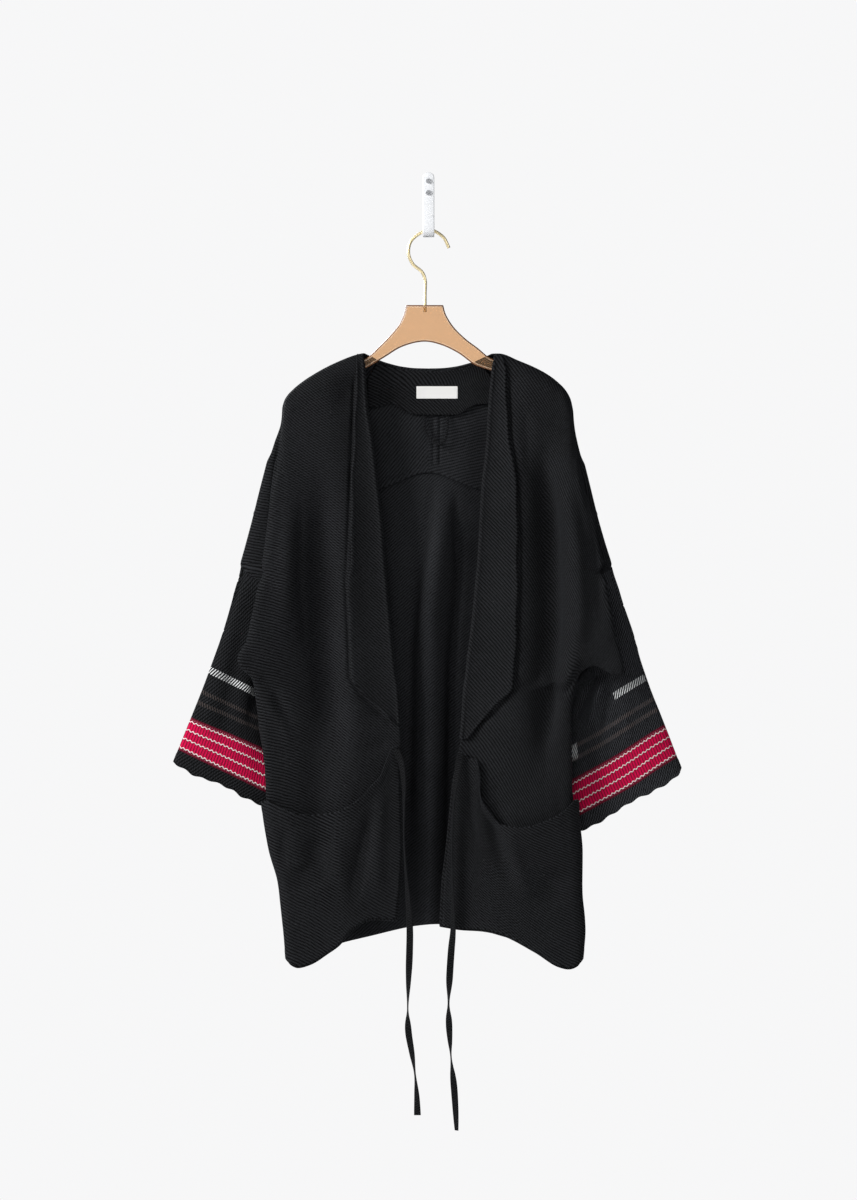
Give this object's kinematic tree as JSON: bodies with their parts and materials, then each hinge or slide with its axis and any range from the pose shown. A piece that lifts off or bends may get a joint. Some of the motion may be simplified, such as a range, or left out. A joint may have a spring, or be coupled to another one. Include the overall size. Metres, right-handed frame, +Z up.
{
  "type": "open-front chore jacket on a hanger and wall hook",
  "caption": "Loose open-front jacket with turned-out lapels, wide banded sleeves, big patch pockets and hanging ties, on an acrylic hanger and a wall hook.",
  "frame": {"origin": "on the back face of the wall hook's plate, where it meets the wall", "axes": "+Y into the wall, +Z up, +X to the viewer's right as the jacket is seen from the front"},
  "size_m": [0.7368, 0.0851, 1.3911],
  "materials": {
    "twill": "heavy diagonal twill, near black, with woven bands on the sleeves",
    "label": "plain white woven tape",
    "acrylic": "clear amber acrylic, polished",
    "gold_wire": "polished gold plating",
    "white_paint": "satin white powder coat",
    "screw_steel": "bright"
  },
  "bodies": {
    "root": {"right_front": "twill", "left_front": "twill", "right_sleeve": "twill", "left_sleeve": "twill", "right_lapel": "twill", "left_lapel": "twill", "right_pocket": "twill", "left_pocket": "twill", "right_tie": "twill", "left_tie": "twill", "back_yoke_right": "twill", "back_yoke_left": "twill", "back_body": "twill", "back_neck_facing": "twill", "hanging_loop": "twill", "label": "label", "hanger_plate": "acrylic", "hanger_hook": "gold_wire", "wall_hook": "white_paint", "upper_screw": "screw_steel", "lower_screw": "screw_steel"}
  },
  "joints": []
}
